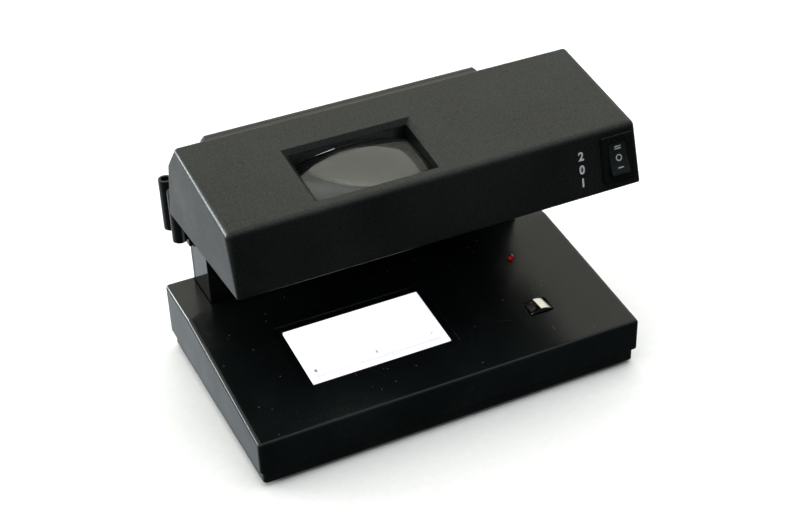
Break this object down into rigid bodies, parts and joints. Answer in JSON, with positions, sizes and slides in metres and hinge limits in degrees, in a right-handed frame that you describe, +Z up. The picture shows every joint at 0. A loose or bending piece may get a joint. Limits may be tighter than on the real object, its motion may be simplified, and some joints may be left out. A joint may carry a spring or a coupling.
{
  "type": "counterfeit bill detector",
  "caption": "Desktop counterfeit bill detector: sloped base with a lit bill window and magnetic head, rear neck, and an overhanging head with lens, ultraviolet tube and rocker switch.",
  "frame": {"origin": "centre of the base footprint, on the table under the rubber feet", "axes": "+X to the right of the user, +Y towards the rear neck, +Z up"},
  "size_m": [0.19, 0.118, 0.133],
  "materials": {
    "black_abs": "fine-textured black moulded plastic",
    "head_abs": "fine-textured black moulded plastic, slightly faded on top",
    "black_abs_cover": "satin black moulded plastic",
    "gloss_black": "polished black moulded plastic",
    "foot_rubber": "matte black rubber",
    "zinc_steel": "zinc-plated screws",
    "black_steel": "blackened screws",
    "lit_diffuser": "opal white diffuser, lit from below",
    "white_plastic": "white moulded plastic",
    "circuit_board": "green circuit board lacquer",
    "led_package": "white-light LED packages",
    "chrome": "bright chrome plating",
    "core_black": "black moulded plastic",
    "grey_plastic": "dark grey moulded plastic",
    "spring_steel": "bright spring wire",
    "red_led": "red tinted LED lens",
    "components": "capacitors, chips and choke",
    "lens_glass": "clear polished optical glass",
    "reflector_sheet": "polished aluminium sheet",
    "uv_glass": "deep violet filter glass",
    "cap_aluminium": "crimped aluminium caps",
    "pin_brass": "bright brass",
    "switch_plastic": "satin black switch plastic",
    "rocker_plastic": "satin black rocker with pale marks",
    "wire_insulation": "red wire insulation"
  },
  "bodies": {
    "detector": {"base_cover": "black_abs", "bottom_cover": "black_abs_cover", "rubber_feet": "foot_rubber", "base_screws": "zinc_steel", "bill_window": "lit_diffuser", "light_box": "white_plastic", "backlight_board": "circuit_board", "backlight_leds": "led_package", "mg_housing": "grey_plastic", "mg_spring": "spring_steel", "indicator_led": "red_led", "main_board": "circuit_board", "board_parts": "components", "buzzer": "core_black", "power_jack": "core_black", "board_screws": "zinc_steel", "neck": "gloss_black", "neck_rear_cover": "black_abs_cover", "neck_screws": "zinc_steel", "rear_cover_screws": "black_steel", "holder_sleeves": "black_abs", "head_cover": "head_abs", "head_tray": "black_abs_cover", "head_screws": "black_steel", "head_mount_screws": "zinc_steel", "lens": "lens_glass", "reflector": "reflector_sheet", "lamp_sockets": "white_plastic", "ballast_board": "circuit_board", "ballast_parts": "components", "switch_body": "switch_plastic", "switch_terminals": "pin_brass", "wiring": "wire_insulation"},
    "rocker": {"rocker": "rocker_plastic"},
    "mg_head": {"mg_can": "chrome", "mg_core": "core_black", "mg_carriage": "grey_plastic"},
    "uv_lamp": {"uv_tube": "uv_glass", "tube_caps": "cap_aluminium", "tube_pins": "pin_brass"}
  },
  "joints": [
    {"name": "rocker_tilt", "type": "hinge", "parent": "detector", "child": "rocker", "pos_m": [0.0838, -0.04932, 0.11096], "axis": [1, 0, 0], "range_deg": [0, 24]},
    {"name": "mg_press", "type": "slide", "parent": "detector", "child": "mg_head", "axis": [0, 0, -1], "range_m": [0, 0.001], "stiffness_N_per_m": 150, "springref_m": -0.002, "deforming": ["mg_spring"]},
    {"name": "lamp_twist", "type": "hinge", "parent": "detector", "child": "uv_lamp", "pos_m": [0, 0.01343, 0.10188], "axis": [1, 0, 0], "range_deg": [0, 90]}
  ]
}
